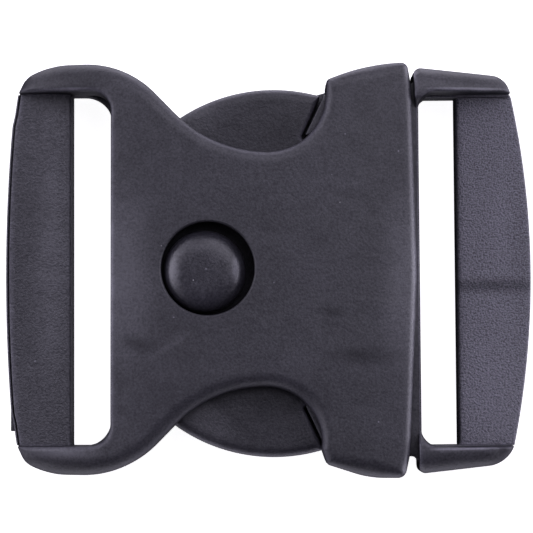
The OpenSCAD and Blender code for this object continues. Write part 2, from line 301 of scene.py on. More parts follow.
def meshOf(name, shells, finishes=()):
    # One mesh from several shells, in metres; every shell keeps its own finish
    mesh = bpy.data.meshes.new(name)
    points = np.vstack([shell["points"] for shell in shells]) * mm
    shift = np.cumsum([0] + [len(shell["points"]) for shell in shells])[:-1]
    triangles = np.vstack([shell["triangles"] + at for shell, at in zip(shells, shift)])
    mesh.vertices.add(len(points))
    mesh.vertices.foreach_set("co", points.astype(np.float32).ravel())
    mesh.loops.add(triangles.size)
    mesh.loops.foreach_set("vertex_index", triangles.astype(np.int32).ravel())
    mesh.polygons.add(len(triangles))
    mesh.polygons.foreach_set("loop_start", np.arange(0, triangles.size, 3, dtype=np.int32))
    if len(finishes):
        for finish in finishes:
            mesh.materials.append(finish)
        index = np.concatenate([np.full(len(s["triangles"]), s.get("finish", 0)) for s in shells])
        mesh.polygons.foreach_set("material_index", index.astype(np.int32))
        # Partly wear, partly a painted highlight on the rims
        wear = np.concatenate([s.get("wear", np.zeros(len(s["points"]))) for s in shells])
        attribute = mesh.attributes.new("edgeWearAndHighlight", "FLOAT", "POINT")
        attribute.data.foreach_set("value", wear.astype(np.float32))
    mesh.update(calc_edges=True)
    mesh.validate()
    return mesh


def carved(shell, cutters):
    # The shell less each cutter, read back as plain triangles; the scratch objects go again
    body = bpy.data.objects.new("carveBody", meshOf("carveBody", [shell]))
    bpy.context.scene.collection.objects.link(body)
    tools = []
    for cutter in cutters:
        tool = bpy.data.objects.new("carveTool", meshOf("carveTool", [cutter]))
        bpy.context.scene.collection.objects.link(tool)
        cut = body.modifiers.new("cut", "BOOLEAN")
        cut.operation = "DIFFERENCE"
        cut.solver = "MANIFOLD"
        cut.object = tool
        tools.append(tool)
    result = body.evaluated_get(bpy.context.evaluated_depsgraph_get()).to_mesh()
    result.calc_loop_triangles()
    points = np.empty(len(result.vertices) * 3, np.float32)
    result.vertices.foreach_get("co", points)
    triangles = np.empty(len(result.loop_triangles) * 3, np.int32)
    result.loop_triangles.foreach_get("vertices", triangles)
    for thing in tools + [body]:
        bpy.data.objects.remove(thing)
    points, triangles = points.reshape(-1, 3) / mm, triangles.reshape(-1, 3)
    return {"points": points, "triangles": triangles, "loops": shell["loops"]}


def withWearAndHighlight(shell, topZ, width=0.45):
    # Wear and a painted highlight are strongest on the rolled rim and fade inwards as a bell curve of the
    # distance to the edge. They are whole down to 0.3 below the top and gone 0.9 below it.
    p = shell["points"]
    nearest, taken = edgeField(p[:, :2], shell["loops"], 2)
    high = np.clip((p[:, 2] - (topZ(p[:, 0], p[:, 1]) - taken - 0.9)) / 0.6, 0, 1)
    shell["wear"] = np.exp(-(nearest / width) ** 2) * high
    return shell


# Finishes

def addNode(tree, kind, x, y, **values):
    # A node at its place in the editor, with its settings
    node = tree.nodes.new(kind)
    node.location = (x, y)
    for key, value in values.items():
        setattr(node, key, value)
    return node


def ranged(tree, source, x, y, limits, kind="LINEAR"):
    # Carries a value from the first two limits to the last two, and holds it beyond them
    node = addNode(tree, "ShaderNodeMapRange", x, y, interpolation_type=kind)
    for name, value in zip(("From Min", "From Max", "To Min", "To Max"), limits):
        node.inputs[name].default_value = value
    tree.links.new(source, node.inputs["Value"])
    return node.outputs["Result"]


def product(tree, first, second, x, y):
    # One value times another
    node = addNode(tree, "ShaderNodeMath", x, y, operation="MULTIPLY")
    tree.links.new(first, node.inputs[0])
    tree.links.new(second, node.inputs[1])
    return node.outputs["Value"]


def noise(tree, place, x, y, scale, detail, **others):
    # Fractal noise over the piece's own place
    node = addNode(tree, "ShaderNodeTexNoise", x, y)
    for name, value in {"Scale": scale, "Detail": detail, **others}.items():
        node.inputs[name].default_value = value
    tree.links.new(place, node.inputs["Vector"])
    return node.outputs["Fac"]


def overlaid(tree, factor, under, colour, x, y):
    # A fixed colour laid over the one under it, by the factor
    node = addNode(tree, "ShaderNodeMix", x, y, data_type="RGBA")
    node.inputs["B"].default_value = (*colour, 1)
    tree.links.new(factor, node.inputs["Factor"])
    tree.links.new(under, node.inputs["A"])
    return node.outputs["Result"]


def relief(tree, height, depth, x, y, over=None):
    # Bumps as deep as given, in millimetres, on top of other bumps where they are given
    node = addNode(tree, "ShaderNodeBump", x, y)
    node.inputs["Strength"].default_value = 1
    node.inputs["Distance"].default_value = depth * mm
    tree.links.new(height, node.inputs["Height"])
    if over is not None:
        tree.links.new(over, node.inputs["Normal"])
    return node.outputs["Normal"]


def markedTone(tree, place, factor, mark, height):
    # A soft oval mark: the tone is scaled by its gain in the middle, and not at all at its rim.
    # A mark is x, y, half length, half width in millimetres, turn in degrees, and gain.
    x, y, long, wide, turn, gain = mark
    local = addNode(tree, "ShaderNodeMapping", -1600, height, vector_type="TEXTURE")
    local.inputs["Location"].default_value = (x * mm, y * mm, 0)
    local.inputs["Rotation"].default_value = (0, 0, math.radians(turn))
    local.inputs["Scale"].default_value = (long * mm, wide * mm, 1)
    tree.links.new(place, local.inputs["Vector"])
    away = addNode(tree, "ShaderNodeVectorMath", -1400, height, operation="LENGTH")
    tree.links.new(local.outputs["Vector"], away.inputs[0])
    fade = ranged(tree, away.outputs["Value"], -1200, height, (0, 1, gain, 1), "SMOOTHSTEP")
    return product(tree, factor, fade, -1000, height)


def wallLevel(tree):
    # 1 where a face lies level, 0 where it stands upright: the size of its normal's height, the painted
    # shading's mask
    face = addNode(tree, "ShaderNodeNewGeometry", -1600, 1650)
    apart = addNode(tree, "ShaderNodeSeparateXYZ", -1400, 1650)
    tree.links.new(face.outputs["Normal"], apart.inputs["Vector"])
    level = addNode(tree, "ShaderNodeMath", -1200, 1650, operation="ABSOLUTE")
    tree.links.new(apart.outputs["Z"], level.inputs[0])
    return level.outputs["Value"]


def mouldedPlastic(name, look):
    # Charcoal acetal. The colour drifts between two tones, is rubbed pale on the edges, partly as wear and
    # partly as a painted highlight, and is scaled by the grain's pits, the mottling, painted shade on the
    # upright walls and the marks, many of which are painted highlights, shade and reflections; dust lies on
    # top. The same scaling dims the shine. The relief is the grain over broad waves from the flow of the
    # melt.
    finish = bpy.data.materials.new(name)
    finish.use_nodes = True
    tree = finish.node_tree
    link = tree.links.new
    shader = tree.nodes["Principled BSDF"]
    place = addNode(tree, "ShaderNodeTexCoord", -1600, 0).outputs["Object"]
    usual = (0.3, 0.7)  # nearly all noise lies between these
    # Tone drift, and rubbed edges that also carry a painted highlight
    drift = noise(tree, place, -1300, 300, look["driftScale"], 3)
    tone = addNode(tree, "ShaderNodeMix", -900, 300, data_type="RGBA")
    tone.inputs["A"].default_value = (*look["deepColour"], 1)
    tone.inputs["B"].default_value = (*look["paleColour"], 1)
    link(ranged(tree, drift, -1100, 300, (*usual, 0, 1)), tone.inputs["Factor"])
    # Edges are made paler: partly rubbed wear, partly a painted highlight on the rims
    wear = addNode(tree, "ShaderNodeAttribute", -1300, 600, attribute_name="edgeWearAndHighlight").outputs["Fac"]
    patchy = noise(tree, place, -1300, 800, look["wearScale"], 4)
    rubbedAndHighlight = product(tree, wear, patchy, -1100, 700)
    rubbedAndHighlight = overlaid(tree, rubbedAndHighlight, tone.outputs["Result"], look["rubbedAndHighlightColour"], -700, 400)
    # Everything that scales the tone
    pits = noise(tree, place, -1300, -200, look["grainScale"], 3, Roughness=0.6)
    pitTone = ranged(tree, pits, -900, 150, (*usual, 1 - look["pitTone"], 1 + look["pitTone"]))
    mottle = noise(tree, place, -1300, 1300, look["mottleScale"], 3, Distortion=0.8)
    mottle = ranged(tree, mottle, -1100, 1300, (*usual, 1 - look["mottle"], 1 + look["mottle"]))
    factor = product(tree, mottle, pitTone, -800, 1300)
    # Painted shade on upright faces such as the walls of slots and holes; a tone above 1 paints a highlight
    # instead
    limits = (*look["paintedWallShadingFrom"], look["paintedWallShadingTone"], 1)
    paintedWallShading = ranged(tree, wallLevel(tree), -1000, 1650, limits, "SMOOTHSTEP")
    factor = product(tree, factor, paintedWallShading, -700, 1650)
    for number, mark in enumerate(look["marks"]):
        factor = markedTone(tree, place, factor, mark, 1900 + 180 * number)
    scaled = addNode(tree, "ShaderNodeMix", -600, 300, data_type="RGBA", blend_type="MULTIPLY")
    scaled.inputs["Factor"].default_value = 1
    link(rubbedAndHighlight, scaled.inputs["A"])
    link(factor, scaled.inputs["B"])
    shine = addNode(tree, "ShaderNodeMath", -600, 1300, operation="MULTIPLY", use_clamp=True)
    shine.inputs[1].default_value = look["specular"]
    link(factor, shine.inputs[0])
    link(shine.outputs["Value"], shader.inputs["Specular IOR Level"])
    # Dust specks: the middles of scattered cells
    dust = addNode(tree, "ShaderNodeTexVoronoi", -1300, 1050)
    dust.inputs["Scale"].default_value = look["dustScale"]
    link(place, dust.inputs["Vector"])
    limits = (look["dustSize"], look["dustSize"] * 0.5, 0, 1)
    speck = ranged(tree, dust.outputs["Distance"], -1100, 1050, limits)
    dusted = overlaid(tree, speck, scaled.outputs["Result"], look["dustColour"], -500, 500)
    link(dusted, shader.inputs["Base Color"])
    # Gloss and relief
    rough, spread = look["roughness"], look["roughSpread"]
    gloss = ranged(tree, pits, -900, -150, (*usual, rough - spread, rough + spread))
    link(gloss, shader.inputs["Roughness"])
    flow = noise(tree, place, -1300, -500, look["flowScale"], 2, Distortion=1.4)
    waves = relief(tree, flow, look["flowDepth"], -700, -500)
    link(relief(tree, pits, look["grainDepth"], -500, -300, waves), shader.inputs["Normal"])
    return finish


satinLook = {
    "deepColour": (0.0205, 0.0197, 0.0250), "paleColour": (0.0275, 0.0264, 0.0336), "driftScale": 90,
    "rubbedAndHighlightColour": (0.125, 0.12, 0.148), "wearScale": 420,
    "dustColour": (0.3, 0.3, 0.31), "dustScale": 170, "dustSize": 0.02,
    "grainScale": 2900, "grainDepth": 0.04, "pitTone": 0.25, "flowScale": 160, "flowDepth": 0.09,
    "mottleScale": 300, "mottle": 0.07, "paintedWallShadingTone": 0.2, "paintedWallShadingFrom": (0.1, 0.85),
    "roughness": 0.48, "roughSpread": 0.04, "specular": 0.6,
    "marks": [
        (9.6, -6.4, 3.2, 0.9, -6, 0.66),      # painted reflection of a sink mark: a short dark streak in the lower face
        (14.0, -12.9, 7.5, 2.2, -3, 0.62),    # painted reflection: a long soft dark band, and painted shade on the face below it
        (11.0, -18.5, 12, 6.5, 0, 0.88),
        (-19.6, -11.2, 3.8, 1.8, -12, 0.66),  # swirl beside the socket's slot
        (-14.6, -11.4, 5.5, 0.8, 32, 1.3),
        (11.5, 11.2, 5.5, 1.2, -10, 0.88),    # swirl under the upper ear
        (12.6, 12.6, 3.5, 0.6, 12, 1.14),
        (20.6, -1.5, 5.4, 18, 0, 1.62),       # painted highlight beside the mouth and the slot
        (-21.8, -1.0, 6.4, 18, 0, 1.75),
        (-6.0, -21.0, 17, 6.5, 0, 0.86),      # painted shade on the lower hips and the lower ear
        (-14.5, -19.5, 7, 6, 0, 0.88),
        (12.5, -27.5, 9, 5, 0, 0.82),
        (-31.5, -27.7, 9, 1.2, 0, 2.0),       # painted highlight along the lower shoulder, painted shade on its outer edge and on the upper shoulder
        (-29.0, -30.2, 12, 1.6, 0, 0.74),
        (-29.0, 29.0, 11, 3.2, 0, 0.68),
        (29.5, 27.15, 7.8, 0.3, 0.6, 3.0),    # painted highlights along the crests of the prongs and the upper shoulder
        (29.5, -26.85, 7.8, 0.3, 0.6, 2.6),
        (-30.0, 27.05, 6.0, 0.3, 0, 2.6),
        (29.5, 28.9, 8.5, 1.4, -5, 0.72),     # painted shade on the top of the upper prong
        (11.4, 20.1, 0.16, 0.16, 0, 5),       # dust
        (19.4, 17.6, 0.16, 0.16, 0, 5),
        (9.4, 14.0, 0.14, 0.14, 0, 4),
        (0.8, -2.1, 0.14, 0.14, 0, 4),
        (16.4, -22.8, 0.15, 0.15, 0, 5),
        (-14.1, -7.3, 0.17, 0.17, 0, 5),
    ],
}
fineLook = dict(
    satinLook, deepColour=(0.0275, 0.0264, 0.0338), paleColour=(0.0315, 0.0302, 0.0388),
    grainScale=3200, grainDepth=0.13, pitTone=0.3, mottle=0.08, paintedWallShadingTone=0.05, paintedWallShadingFrom=(0.1, 0.97),
    roughness=0.46, specular=0.74,
    marks=[
        (-32.6, 2, 3.4, 30, 0, 1.34),         # painted highlight towards the slot, painted shade along the outer edge
        (-38.0, 2, 3.2, 30, 0, 0.84),
        (-35.2, -13.8, 0.16, 0.16, 0, 6),     # dust
        (-34.3, -9.4, 0.14, 0.14, 0, 3),
    ],
)
# The wings' colours and shine are lower than the face's: painted shade where the wings lie sunk in the
# notches
wingLook = dict(
    satinLook, deepColour=(0.0155, 0.0149, 0.019), paleColour=(0.019, 0.0182, 0.0233),
    grainScale=3000, grainDepth=0.07, pitTone=0.22, mottle=0.08, roughness=0.44, specular=0.5,
    marks=[
        (-11.5, 21.5, 8, 3.5, 35, 1.5),       # painted highlights on the tips, painted reflection darkening the middles
        (-10.0, -22.0, 9, 3.5, -35, 1.7),
        (1.5, 20.5, 9, 4.0, 0, 0.85),
        (1.5, -20.0, 9, 3.5, 0, 0.75),
    ],
)
coarseLook = dict(
    satinLook, deepColour=(0.084, 0.0805, 0.1032), paleColour=(0.093, 0.0892, 0.1143),
    grainScale=3300, grainDepth=0.42, pitTone=0.55, mottle=0.05, paintedWallShadingTone=0.05, paintedWallShadingFrom=(0.1, 0.97),
    roughness=0.42, specular=1.0,
    marks=[
        (33.5, -2.3, 14, 1.9, 0, 0.46),       # painted reflection: a sink mark across the bar, drawn as a dark band
        (38.5, 3, 3.5, 24, 0, 0.8),           # painted shade along the outer edge, painted highlight on the lower end
        (32.0, -17, 7, 11, 0, 1.12),
    ],
)
buttonLook = dict(
    satinLook, deepColour=(0.0215, 0.0206, 0.0264), paleColour=(0.0265, 0.0254, 0.0325),
    # Its upright faces are made paler by a tone above 1: a painted highlight on the button's rim
    grainScale=2600, pitTone=0.24, mottle=0.1, paintedWallShadingTone=1.5, paintedWallShadingFrom=(0.1, 0.7), roughness=0.36,
    marks=[
        (-9.3, -0.1, 0.22, 0.22, 0, 4),       # speck in the middle, and a small ring
        (-10.75, -2.25, 0.36, 0.36, 0, 1.3),
        (-10.0, 0.6, 2.6, 3.2, 0, 0.86),      # painted reflection darkening the middle
        (-14.3, -0.3, 1.7, 3.8, 0, 1.9),      # painted highlights: pale crescents at the left and the right, and painted shade inside the right one
        (-4.8, -0.2, 1.0, 2.8, 0, 2.6),
        (-6.6, 0.0, 0.9, 2.0, 0, 0.8),
    ],
)
# For the tongue inside the socket: near-black colours and weak shine are painted shade where it shows
# through the button's hole
insidePaintedShadeLook = dict(
    satinLook, deepColour=(0.006, 0.0057, 0.0072), paleColour=(0.008, 0.0076, 0.0096), specular=0.12,
    marks=[],
)
satin = mouldedPlastic("satinPlastic", satinLook)
fineGrain = mouldedPlastic("fineGrainPlastic", fineLook)
wingGrain = mouldedPlastic("wingGrainPlastic", wingLook)
coarseGrain = mouldedPlastic("coarseGrainPlastic", coarseLook)
buttonPlastic = mouldedPlastic("buttonPlastic", buttonLook)
insidePaintedShadePlastic = mouldedPlastic("insidePaintedShadePlastic", insidePaintedShadeLook)
print("finishes are ready")


# Heights that both mouldings share, in millimetres

section = {
    "crown": 14.6, "crownRadius": 140.0, "hollowRadius": 260.0, "footX": 33.5,
    "cavityLow": 4.267, "cavityHigh": 10.737, "barLow": 2.8, "barTop": 7.3,
    "plugLow": 4.467, "plugHigh": 10.537,
}


def crownZ(x, y):
    # A cylinder's height across the belt's curve: it falls off to both strap ends
    return section["crown"] - section["crownRadius"] + np.sqrt(section["crownRadius"] ** 2 - x ** 2)


def backZ(x, y):
    # The back's hollow: a large cylinder between the two flat feet
    r = section["hollowRadius"]
    return np.clip(np.sqrt(r ** 2 - x ** 2) - math.sqrt(r ** 2 - section["footX"] ** 2), 0, None)


def aboveBack(lift):
    # The back's hollow raised by a lift, for what is hidden inside the moulding
    return lambda x, y: backZ(x, y) + lift


# Socket

socketShape = {
    # x, y, plan radius, top roll, bottom roll of the upper half, from the mouth to the strap slot
    "upper": [
        (22.34, -0.6, 60, 1.4, 0.4),
        (21.4, 27.4, 4, 1.3, 0.5),
        (20.75, 31.06, 1.2, 1.2, 0.8),
        (15.05, 30.84, 30, 2.2, 1.0),
        (8.55, 28.3, 0.9, 1.4, 1.0),
        (8.4, 17.55, 8.9, 1.5, 0.6),
        (-8.38, 17.55, 20, 1.5, 0.6),
        (-21.52, 31.02, 14.9, 2.6, 1.0),
        (-33.0, 30.95, 12, 3.8, 1.2),
        (-36.75, 29.1, 3.2, 2.9, 1.0),
        (-37.9, 26.5, 0.25, 1.6, 0.5),
        (-34.8, 26.55, 0, 0.9, 0.4),
        (-23.67, 26.55, 2.9, 0.8, 0.4),
        (-23.67, 21.5, 0, 0.4, 0.3),
    ],
    # The lower half, which the photo shows a little fuller at the mouth
    "lower": [
        (21.3, 27.3, 4, 1.3, 0.5),
        (20.5, 31.25, 1.4, 1.5, 0.8),
        (15.03, 31.25, 14, 3.0, 1.0),
        (8.75, 29.2, 0.9, 1.6, 1.0),
        (7.95, 26.9, 1.2, 1.3, 0.8),
        (8.3, 17.65, 8.75, 2.2, 0.6),
        (-8.32, 17.65, 20, 2.2, 0.6),
        (-21.35, 31.0, 15.5, 2.6, 1.0),
        (-33.2, 30.95, 13, 3.8, 1.2),
        (-36.75, 29.15, 3.2, 2.9, 1.0),
        (-37.85, 26.55, 0.25, 1.6, 0.5),
        (-34.8, 26.55, 0, 0.9, 0.4),
        (-23.6, 26.5, 3.3, 0.8, 0.4),
        (-23.6, 21.5, 0, 0.4, 0.3),
    ],
    # The room inside, from beyond the mouth past the wings' windows to its back wall
    "room": [
        (25.5, 28.2, 0.1, 0.05, 0.05),
        (13.45, 28.2, 0.3, 0.05, 0.05),
        (13.45, 20.84, 0.3, 0.05, 0.05),
        (0.5, 20.84, 0.3, 0.05, 0.05),
        (0.5, 33, 0.3, 0.05, 0.05),
        (-15.85, 33, 0.3, 0.05, 0.05),
        (-15.85, 20.84, 0.3, 0.05, 0.05),
        (-17.5, 20.84, 0.3, 0.05, 0.05),
    ],
    "channelHalf": 7.35, "channelTop": 11.337, "channelLift": 0.2, "channelX": (25.5, -17.5),
    "buttonHole": (-9.05, 0.0), "holeRadius": 6.95, "holeFlare": 0.3,
    # The strap bar: x and plan radius of its bowed end, then x, y and plan radius of its shoulders, where
    # its slot side meets the body's shoulder, and the corner of its face that is hidden in the shoulder
    "barOuter": (-40.52, 268), "barShoulder": [(-38.8, 21.6, 5), (-38.42, 23.3, 3)], "barSlotX": -29.6,
    "barMeetsY": 26, "barFaceEnd": (-37.92, 26.8),
    "slotDraft": 0.18,          # how much further the slot side stands out at the lower half
    # How far the core and the flange stand in from the outermost edge, and how wide the ridge on it is
    "ledge": 0.5, "flangeIn": 0.03, "ridge": 0.27,
    "flangeEnd": [(-35.5, 27.2, 0.12), (-37.45, 27.2, 0.12), (-37.9, 26.3, 0.3)], "ridgeEnd": (-37.95, 26.5),
    "flangeZ": (3.0, 6.4), "ridgeZ": (5.9, 6.95),
    # Small remnants of the moulding: their corners from above, and their heights
    "gate": [(-38.88, -24.4), (-37.8, -24.4), (-37.8, -19.7), (-38.88, -19.7)], "gateZ": (4.1, 6.4),
    "flash": [(17.3, 30.4), (20.0, 30.4), (20.0, 31.24), (19.5, 31.24)], "flashZ": (9.2, 9.6),
    # The rest is for the upper side, and is mirrored for the lower one
    "heelSill": [(5.4, 20.1, 0.2, 0.25, 0.1), (8.4, 20.6, 0.3, 0.25, 0.1), (9.2, 23, 0.3, 0.25, 0.1),
                 (9.4, 26.3, 0.2, 0.3, 0.1), (8.15, 26.3, 0.3, 0.5, 0.1), (8.02, 25.6, 1.0, 0.3, 0.1)],
    "sillTop": 10.3, "sillLift": 0.45,
    "heelLedge": [(3.6, 19.2, 0.1, 0.1, 0.1), (9.0, 19.2, 0.1, 0.1, 0.1), (9.8, 27.6, 0.3, 0.4, 0.3),
                  (8.75, 27.2, 0.6, 0.4, 0.3), (6.6, 26.6, 0.4, 0.4, 0.3), (3.6, 26.3, 0.3, 0.3, 0.3)],
    "heelLedgeTop": 4.2, "heelLedgeLift": 0.3,
    # x of the fill's face to the slot, then y and plan radius of its corner, then its hidden sides
    "cornerFill": {"top": 4.6, "lift": 0.3, "x": -23.81, "upper": (26.5, 4.2), "lower": (26.6, 3.9),
                   "hiddenX": (-31.0, -22.4), "hiddenY": (19.0, 27.3)},
}


def onSide(rows, sign):
    # Rows for the upper side, or the same rows mirrored to the lower side and turned round
    if sign > 0:
        return rows
    return [[row[0], -row[1]] + list(row[2:]) for row in rows[::-1]]


def heelSill(sign):
    # The standing band along the notch's mouth side, which leaves a narrow gap to the wing's heel
    path = roundedPath(onSide(socketShape["heelSill"], sign), deepest=0.24)
    top, low = flatHeight(socketShape["sillTop"]), aboveBack(socketShape["sillLift"])
    return mouldedShell([path], top, low, spacing=0.6, rows=4)


def heelLedge(sign):
    # The socket's floor runs on under the wing's heel, so the gap beside the heel is a dark groove
    path = roundedPath(onSide(socketShape["heelLedge"], sign), deepest=0.3)
    top, low = flatHeight(socketShape["heelLedgeTop"]), aboveBack(socketShape["heelLedgeLift"])
    return mouldedShell([path], top, low, spacing=0.9, rows=3)


def cornerFill(sign):
    # The back half of the mould rounds the strap slot's corner wider than the front half
    fill = socketShape["cornerFill"]
    x = fill["x"]
    y, r = fill["upper"] if sign > 0 else fill["lower"]
    farX, nearX = fill["hiddenX"]
    lowY, highY = fill["hiddenY"]
    corners = [(x, lowY, 0.1), (nearX, lowY, 0.1), (nearX, highY, 0.1), (farX, highY, 0.1),
               (farX, y, 0.1), (x, y, r)]
    path = roundedPath(onSide([(*corner, 0.12, 0.1) for corner in corners], sign), deepest=0.15)
    return mouldedShell([path], flatHeight(fill["top"]), aboveBack(fill["lift"]), spacing=0.6, rows=3)


def remnant(corners, radius, roll, deepest, heights):
    # A small flat remnant of the moulding over its corners, between two heights
    path = roundedPath([(x, y, radius, roll, roll) for x, y in corners], step=0.3, deepest=deepest)
    return mouldedShell([path], flatHeight(heights[1]), flatHeight(heights[0]), spacing=0.5, rows=2)


def socketBody():
    # The female half's body less the room for the plug, the button's channel and the button's hole
    shape = socketShape
    outline = roundedPath(mirroredRows(shape["upper"], shape["lower"]))
    body = mouldedShell([outline], crownZ, backZ, spacing=0.48, rows=8, seam=0.03)
    print("socket body:", len(body["triangles"]), "triangles")
    plain = {"spacing": 6, "lowSpacing": 6, "rows": 1}  # flat faces need few triangles
    cavityLow, cavityHigh = section["cavityLow"], section["cavityHigh"]
    roomPath = roundedPath(mirroredRows(shape["room"]), step=3)
    room = mouldedShell([roomPath], flatHeight(cavityHigh), flatHeight(cavityLow), **plain)
    channelRows = [(x, shape["channelHalf"], 0.2, 0.05, 0.05) for x in shape["channelX"]]
    channelPath = roundedPath(mirroredRows(channelRows), step=3)
    channelTop, channelLow = flatHeight(shape["channelTop"]), flatHeight(cavityLow + shape["channelLift"])
    channel = mouldedShell([channelPath], channelTop, channelLow, **plain)
    # The hole flares out at the face, and the rows that ask for it follow the crown
    r, flare = shape["holeRadius"], shape["holeFlare"]
    hole = turnedShell(shape["buttonHole"], [
        (r + flare * 2.4, 0.8, 1), (r + flare, 0.0, 1), (r + flare * 0.4, -flare * 0.5, 1),
        (r + flare * 0.1, -flare * 0.9, 1), (r, -flare * 1.5, 1), (r, cavityHigh - 1, 0),
    ], around=128, follow=crownZ)
    body = withWearAndHighlight(carved(body, [room, channel, hole]), crownZ)
    print("socket carved:", len(body["triangles"]), "triangles")
    return body


def socketBar():
    # The strap bar: a core, then the parting strip as a low flange, and a narrow ridge on the flange's
    # outer edge with a groove behind it
    shape = socketShape
    bowX, bowR = shape["barOuter"]
    faceX, hiddenY = shape["barFaceEnd"]
    inset, slotX = shape["ledge"], shape["barSlotX"]

    def barEnd(setIn, top, low):
        # The rows between the bar's end and its bow, set in from the outermost edge
        return [(x + setIn, y, r, top, low) for x, y, r in shape["barShoulder"][::-1]]

    def coreRows(slotSide):
        # The core from its steep slot side round its end
        return [(slotSide, shape["barMeetsY"], 0, 0.62, 0.4, 4), (slotSide, hiddenY, 0.12, 0.3, 0.3, 2),
                (faceX + inset, hiddenY, 0.12, 0.15, 0.3), *barEnd(inset, 0.15, 0.3)]

    barOutline = mirroredRows(coreRows(slotX) + [(bowX + inset, 0, bowR, 0.15, 0.4)],
                              coreRows(slotX + shape["slotDraft"]))
    barTop, barLow = flatHeight(section["barTop"]), flatHeight(section["barLow"])
    core = mouldedShell([roundedPath(barOutline)], barTop, barLow, spacing=0.6, rows=6)
    flangeLow, flangeTop = (flatHeight(z) for z in shape["flangeZ"])
    setIn = shape["flangeIn"]
    flangeRows = [(x, y, r, 0.1, 0.1) for x, y, r in shape["flangeEnd"]]
    flangeRows += [*barEnd(setIn, 0.1, 0.1), (bowX + setIn, 0, bowR, 0.15, 0.15)]
    flange = mouldedShell([roundedPath(mirroredRows(flangeRows))], flangeTop, flangeLow, spacing=0.9, rows=3)
    ridgeLow, ridgeTop = (flatHeight(z) for z in shape["ridgeZ"])
    setIn = shape["ridge"]
    endX, endY = shape["ridgeEnd"]
    outer, back = barEnd(0, 0.12, 0.1), barEnd(setIn, 0.08, 0.1)
    mirrored = [(x, -y, r, top, low) for x, y, r, top, low in outer[::-1]]
    backMirrored = [(x, -y, r, top, low) for x, y, r, top, low in back]
    ridgeRows = [(endX + setIn, endY, 0, 0.1, 0.1), (endX, endY, 0.05, 0.12, 0.1), *outer,
                 (bowX, 0, bowR, 0.12, 0.1), *mirrored, (endX, -endY, 0.05, 0.12, 0.1),
                 (endX + setIn, -endY, 0, 0.1, 0.1), *backMirrored,
                 (bowX + setIn, 0, bowR, 0.08, 0.1), *back[::-1]]
    ridge = mouldedShell([roundedPath(ridgeRows, deepest=0.1)], ridgeTop, ridgeLow, spacing=0.4, rows=4)
    return [withWearAndHighlight(core, barTop), withWearAndHighlight(flange, flangeTop), withWearAndHighlight(ridge, ridgeTop)]


def socketPiece():
    # The female half: body, strap bar, two small remnants of the moulding, and at each side the heel's sill
    # and ledge and the fill of the slot's corner
    shape = socketShape
    parts = [socketBody()]
    for part in socketBar():
        part["finish"] = 1
        parts.append(part)
    parts.append(remnant(shape["gate"], 0.15, 0.12, 0.12, shape["gateZ"]))
    parts.append(remnant(shape["flash"], 0.1, 0.05, 0.1, shape["flashZ"]))
    for sign in (1, -1):
        parts += [heelSill(sign), heelLedge(sign), cornerFill(sign)]
    print("socket's bar, sills, gate and flash are made")
    return meshOf("socket_shell", parts, [satin, fineGrain])


# Plug

plugShape = {
    # The seat in the socket: x of the mouth's middle, skew in degrees, shift to the side, and the arms' lean
    "mouthX": 22.15, "skew": 0.6, "shift": -0.1, "armLean": -0.22,
    # The frame: outer right corner at the lower side, the strap slot's open side, then the upper prong,
    # the mouth side and the lower prong
    "outer": [
        (36.88, -26.4, 0.27, 1.2, 0.5),
        (33.5, -26.4, 0, 0.5, 0.4, 3),
        (22.72, -26.4, 2.7, 0.5, 0.4, 3),
        (22.72, -23.4, 0, 0.28, 0.2),
        (22.72, 23.4, 0, 0.28, 0.2),
        (22.72, 26.5, 2.5, 0.5, 0.4, 3),
        (33.5, 26.5, 0, 0.5, 0.4, 3),
        (36.88, 26.5, 0.27, 1.2, 0.5),
        (36.0, 29.3, 2.8, 3.0, 1.0),
        (22.0, 30.62, 1.2, 3.2, 0.8),
        (22.0, 29.2, 0, 0.4, 0.6),
        (22.1, 26.5, 0, 0.4, 0.5),
        (22.2, 24.5, 0, 0.28, 0.2),
        (22.2, -24.5, 0, 0.28, 0.2),
        (22.2, -26.5, 0, 0.4, 0.5),
        (22.3, -29.4, 0, 0.4, 0.6),
        (22.35, -30.6, 1.0, 3.2, 0.8),
        (35.55, -29.3, 4.3, 3.0, 1.0),
    ],
    "neck": [
        (22.74, 29.7, 0.2, 0.1, 0.1),
        (22.4, 29.7, 0.2, 0.1, 0.1),
        (22.3, 27.9, 1.3, 0.2, 0.2),
        (14.05, 27.9, 1.0, 0.3, 0.3),
    ],
    "bar": [
        (42.1, 0, 127.6, 0.35, 0.4),
        (36.92, 26.5, 0.12, 0.3, 0.3),
        (28.36, 26.5, 0.12, 0.3, 0.3, 2),
        (28.36, 26, 0, 0.66, 0.4, 4),
    ],
    "prongBlend": (24.4, 1.7),  # where the prongs start to rise from the neck, and over what width
    "ledgeZ": (2.7, 8.2), "ledgeX": (22.5, 36.6), "ledgeUpper": (26.12, 27.0), "ledgeLower": (-27.0, -26.3),
    # x, y, plan radius and top roll of the wing's heel and of the arm; the bow between them is an arc
    "wingHeel": [(5.0, 20.0, 0.4, 0.5), (8.05, 26.6, 0.3, 0.8)],
    "wingBow": {"middle": (0.8, 2.15), "radius": 25.5, "degrees": (76, 127.3), "points": 64, "roll": 1.4},
    "arm": [(-15.05, 21.87, 0.8, 1.2), (-15.05, 20.5, 0.7, 0.5), (-7.45, 15.3, 0.4, 0.4),
            (14.6, 15.3, 0.4, 0.3), (14.6, 20.0, 0.4, 0.3)],
    "armLowRoll": 0.4,
    "button": (-9.55, 0.0), "buttonRadius": 6.15, "buttonTop": 14.2, "buttonDrop": 0.5, "buttonFlat": 4.85,
    "buttonFoot": 10.3,
    "tongue": [(15.0, 7.6, 0.3, 0.3, 0.3), (-16.5, 7.6, 0.8, 0.3, 0.3)], "tongueThick": 2.2,
}


